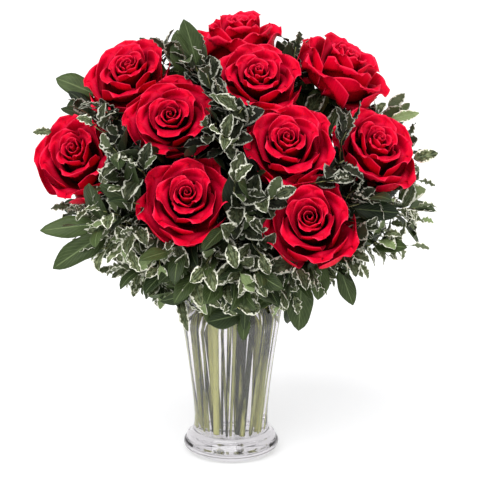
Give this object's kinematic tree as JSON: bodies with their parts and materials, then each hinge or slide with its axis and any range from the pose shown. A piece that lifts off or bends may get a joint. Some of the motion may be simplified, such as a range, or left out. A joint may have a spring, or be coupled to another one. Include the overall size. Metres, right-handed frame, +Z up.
{
  "type": "roses in a vase",
  "caption": "Round bouquet of red roses with variegated sprigs and plain leaf branches, standing in a flared clear glass vase of water.",
  "frame": {"origin": "middle of the vase's flat underside, on the surface that it stands on", "axes": "+Z up along the vase's axis, -Y towards the bouquet's front, +X to the right seen from the front"},
  "size_m": [0.3975, 0.2686, 0.4352],
  "materials": {
    "clear_glass": "clear, polished, with a thick bottom",
    "water": "clear, still",
    "rose_petals": "velvety petal, satin on its back",
    "rose_stem": "smooth waxy stem skin",
    "variegated_leaf": "grey-green leaf with a cream margin, satin",
    "plain_leaf": "dark green leathery leaf, satin"
  },
  "bodies": {
    "root": {"vase": "clear_glass", "water": "water", "rose_bloom_01": "rose_petals", "rose_bloom_02": "rose_petals", "rose_bloom_03": "rose_petals", "rose_bloom_04": "rose_petals", "rose_bloom_05": "rose_petals", "rose_bloom_06": "rose_petals", "rose_bloom_07": "rose_petals", "rose_bloom_08": "rose_petals", "rose_bloom_09": "rose_petals", "rose_bloom_10": "rose_petals", "rose_bloom_11": "rose_petals", "rose_bloom_12": "rose_petals", "rose_stem_01": "rose_stem", "rose_stem_02": "rose_stem", "rose_stem_03": "rose_stem", "rose_stem_04": "rose_stem", "rose_stem_05": "rose_stem", "rose_stem_06": "rose_stem", "rose_stem_07": "rose_stem", "rose_stem_08": "rose_stem", "rose_stem_09": "rose_stem", "rose_stem_10": "rose_stem", "rose_stem_11": "rose_stem", "rose_stem_12": "rose_stem", "variegated_sprig_01": "variegated_leaf", "variegated_sprig_02": "variegated_leaf", "variegated_sprig_03": "variegated_leaf", "variegated_sprig_04": "variegated_leaf", "variegated_sprig_05": "variegated_leaf", "variegated_sprig_06": "variegated_leaf", "variegated_sprig_07": "variegated_leaf", "variegated_sprig_08": "variegated_leaf", "variegated_sprig_09": "variegated_leaf", "variegated_sprig_10": "variegated_leaf", "variegated_sprig_11": "variegated_leaf", "variegated_sprig_12": "variegated_leaf", "variegated_sprig_13": "variegated_leaf", "variegated_sprig_14": "variegated_leaf", "variegated_sprig_15": "variegated_leaf", "variegated_sprig_16": "variegated_leaf", "variegated_sprig_17": "variegated_leaf", "variegated_sprig_18": "variegated_leaf", "leaf_branch_01": "plain_leaf", "leaf_branch_02": "plain_leaf", "leaf_branch_03": "plain_leaf", "leaf_branch_04": "plain_leaf", "leaf_branch_05": "plain_leaf", "leaf_branch_06": "plain_leaf", "leaf_branch_07": "plain_leaf", "leaf_branch_08": "plain_leaf", "leaf_branch_09": "plain_leaf", "leaf_branch_10": "plain_leaf", "leaf_branch_11": "plain_leaf"}
  },
  "joints": []
}
